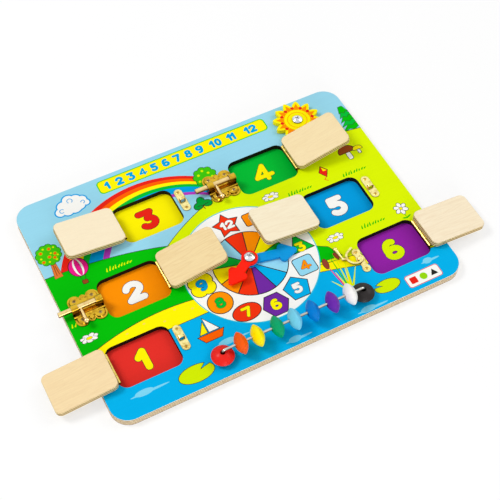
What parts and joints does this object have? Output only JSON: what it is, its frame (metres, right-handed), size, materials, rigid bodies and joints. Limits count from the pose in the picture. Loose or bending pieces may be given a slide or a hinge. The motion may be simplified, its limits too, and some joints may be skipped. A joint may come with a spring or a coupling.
{
  "type": "wooden busy board",
  "caption": "Flat plywood activity board with hinged doors over windows, barrel bolts, swing hooks, a clock with hands, a sun wheel and beads on a wire.",
  "frame": {"origin": "the middle of the board's back face, the face that lies on the table", "axes": "+Z out of the printed front, +X along the long side to the right, +Y to the far edge"},
  "size_m": [0.4968, 0.2894, 0.0369],
  "materials": {
    "ply": "sanded edge",
    "print": "satin print over plywood",
    "door_wood": "sanded birch face",
    "gold": "polished",
    "pale_brass": "bright",
    "steel": "bright zinc",
    "blue_paint": "painted wood",
    "red_paint": "painted wood",
    "yellow_paint": "painted wood",
    "bead_red": "glossy paint",
    "bead_orange": "glossy paint",
    "bead_yellow": "glossy paint",
    "bead_green": "glossy paint",
    "bead_light_blue": "glossy paint",
    "bead_blue": "glossy paint",
    "bead_purple": "glossy paint",
    "bead_white": "glossy paint",
    "bead_black": "glossy paint"
  },
  "bodies": {
    "board": {"back_panel": "ply", "front_panel": "print", "hinge_board_leaves": "pale_brass", "hinge_pins": "pale_brass", "board_screws": "pale_brass", "bolt_2_case": "gold", "bolt_4_case": "gold", "bolt_screws": "gold", "catch_1": "pale_brass", "catch_3": "pale_brass", "catch_5": "pale_brass", "hook_6_plate": "pale_brass", "disc_screws": "steel", "disc_washers": "steel", "bead_wire": "steel"},
    "leaf_1": {"door_1": "door_wood", "hinge_1_door_leaf": "pale_brass", "door_1_screws": "pale_brass", "hook_1_plate": "pale_brass"},
    "leaf_2": {"door_2": "door_wood", "hinge_2_door_leaf": "pale_brass", "door_2_screws": "pale_brass", "keeper_2": "gold"},
    "leaf_3": {"door_3": "door_wood", "hinge_3_door_leaf": "pale_brass", "door_3_screws": "pale_brass", "hook_3_plate": "pale_brass"},
    "leaf_4": {"door_4": "door_wood", "hinge_4_door_leaf": "pale_brass", "door_4_screws": "pale_brass", "keeper_4": "gold"},
    "leaf_5": {"door_5": "door_wood", "hinge_5_door_leaf": "pale_brass", "door_5_screws": "pale_brass", "hook_5_plate": "pale_brass"},
    "leaf_6": {"door_6": "door_wood", "hinge_6_door_leaf": "pale_brass", "door_6_screws": "pale_brass", "catch_6": "pale_brass"},
    "hook_1": {"hook_1_arm": "pale_brass"},
    "hook_3": {"hook_3_arm": "pale_brass"},
    "hook_5": {"hook_5_arm": "pale_brass"},
    "hook_6": {"hook_6_arm": "pale_brass"},
    "bolt_2": {"bolt_2_rod": "gold", "bolt_2_knob": "gold"},
    "bolt_4": {"bolt_4_rod": "gold", "bolt_4_knob": "gold"},
    "long_hand_turn": {"long_hand": "blue_paint"},
    "short_hand_turn": {"short_hand": "red_paint"},
    "sun": {"sun_wheel": "yellow_paint"},
    "slide_red": {"bead_red": "bead_red"},
    "slide_orange": {"bead_orange": "bead_orange"},
    "slide_yellow": {"bead_yellow": "bead_yellow"},
    "slide_green": {"bead_green": "bead_green"},
    "slide_light_blue": {"bead_light_blue": "bead_light_blue"},
    "slide_blue": {"bead_blue": "bead_blue"},
    "slide_purple": {"bead_purple": "bead_purple"},
    "slide_white": {"bead_white": "bead_white"},
    "slide_black": {"bead_black": "bead_black"}
  },
  "joints": [
    {"name": "door_1_swing", "type": "hinge", "parent": "board", "child": "leaf_1", "pos_m": [-0.1796, -0.0856, 0.01195], "axis": [0, 1, 0], "range_deg": [0, 184.8]},
    {"name": "door_2_swing", "type": "hinge", "parent": "board", "child": "leaf_2", "pos_m": [-0.0876, -0.0072, 0.01195], "axis": [0, -1, 0], "range_deg": [0, 170.2]},
    {"name": "door_3_swing", "type": "hinge", "parent": "board", "child": "leaf_3", "pos_m": [-0.104, 0.0712, 0.01195], "axis": [0, 1, 0], "range_deg": [0, 172.8]},
    {"name": "door_4_swing", "type": "hinge", "parent": "board", "child": "leaf_4", "pos_m": [0.1052, 0.0712, 0.01195], "axis": [0, -1, 0], "range_deg": [0, 167.4]},
    {"name": "door_5_swing", "type": "hinge", "parent": "board", "child": "leaf_5", "pos_m": [0.0888, -0.0072, 0.01195], "axis": [0, 1, 0], "range_deg": [0, 172.8]},
    {"name": "door_6_swing", "type": "hinge", "parent": "board", "child": "leaf_6", "pos_m": [0.1808, -0.0856, 0.01195], "axis": [0, -1, 0], "range_deg": [0, 185.2]},
    {"name": "hook_1_turn", "type": "hinge", "parent": "leaf_1", "child": "hook_1", "pos_m": [-0.24105, -0.0836, 0.00875], "axis": [-0.0837, 0, 0.9965], "range_deg": [0, 144]},
    {"name": "hook_3_turn", "type": "hinge", "parent": "leaf_3", "child": "hook_3", "pos_m": [-0.16477, 0.0732, 0.02159], "axis": [0.1253, 0, 0.9921], "range_deg": [0, 144]},
    {"name": "hook_5_turn", "type": "hinge", "parent": "leaf_5", "child": "hook_5", "pos_m": [0.02803, -0.0052, 0.02159], "axis": [0.1253, 0, 0.9921], "range_deg": [0, 144]},
    {"name": "hook_6_turn", "type": "hinge", "parent": "board", "child": "hook_6", "pos_m": [0.1066, -0.0836, 0.01], "axis": [0, 0, -1], "range_deg": [0, 144]},
    {"name": "bolt_2_slide", "type": "slide", "parent": "board", "child": "bolt_2", "axis": [1, 0, 0], "range_m": [0, 0.0155]},
    {"name": "bolt_4_slide", "type": "slide", "parent": "board", "child": "bolt_4", "axis": [1, 0, 0], "range_m": [0, 0.0155]},
    {"name": "long_hand_hinge", "type": "hinge", "parent": "board", "child": "long_hand_turn", "pos_m": [0.001, -0.032, 0.012], "axis": [0, 0, 1], "range_deg": [-182, 124]},
    {"name": "short_hand_hinge", "type": "hinge", "parent": "board", "child": "short_hand_turn", "pos_m": [0.001, -0.032, 0.0158], "axis": [0, 0, 1], "range_deg": [-48, 262]},
    {"name": "sun_spin", "type": "hinge", "parent": "board", "child": "sun", "pos_m": [0.1381, 0.11335, 0.013], "axis": [0, 0, 1], "continuous": true},
    {"name": "bead_red_spin", "type": "hinge", "parent": "board", "child": "slide_red", "pos_m": [-0.0765, -0.12405, 0.01635], "axis": [0, 0, 1], "continuous": true},
    {"name": "bead_orange_slide", "type": "slide", "parent": "board", "child": "slide_orange", "axis": [1, 0, 0], "range_m": [-0.0013, 0.00563]},
    {"name": "bead_yellow_slide", "type": "slide", "parent": "board", "child": "slide_yellow", "axis": [1, 0, 0], "range_m": [-0.00563, 0.00936]},
    {"name": "bead_green_slide", "type": "slide", "parent": "board", "child": "slide_green", "axis": [1, 0, 0], "range_m": [-0.00936, 0.00693]},
    {"name": "bead_light_blue_slide", "type": "slide", "parent": "board", "child": "slide_light_blue", "axis": [1, 0, 0], "range_m": [-0.00693, 0.0079]},
    {"name": "bead_blue_slide", "type": "slide", "parent": "board", "child": "slide_blue", "axis": [1, 0, 0], "range_m": [-0.0079, 0.00968]},
    {"name": "bead_purple_slide", "type": "slide", "parent": "board", "child": "slide_purple", "axis": [1, 0, 0], "range_m": [-0.00968, 0.0079]},
    {"name": "bead_white_slide", "type": "slide", "parent": "board", "child": "slide_white", "axis": [1, 0, 0], "range_m": [-0.0079, 0]},
    {"name": "bead_black_spin", "type": "hinge", "parent": "board", "child": "slide_black", "pos_m": [0.0855, -0.12405, 0.01635], "axis": [0, 0, 1], "continuous": true}
  ]
}
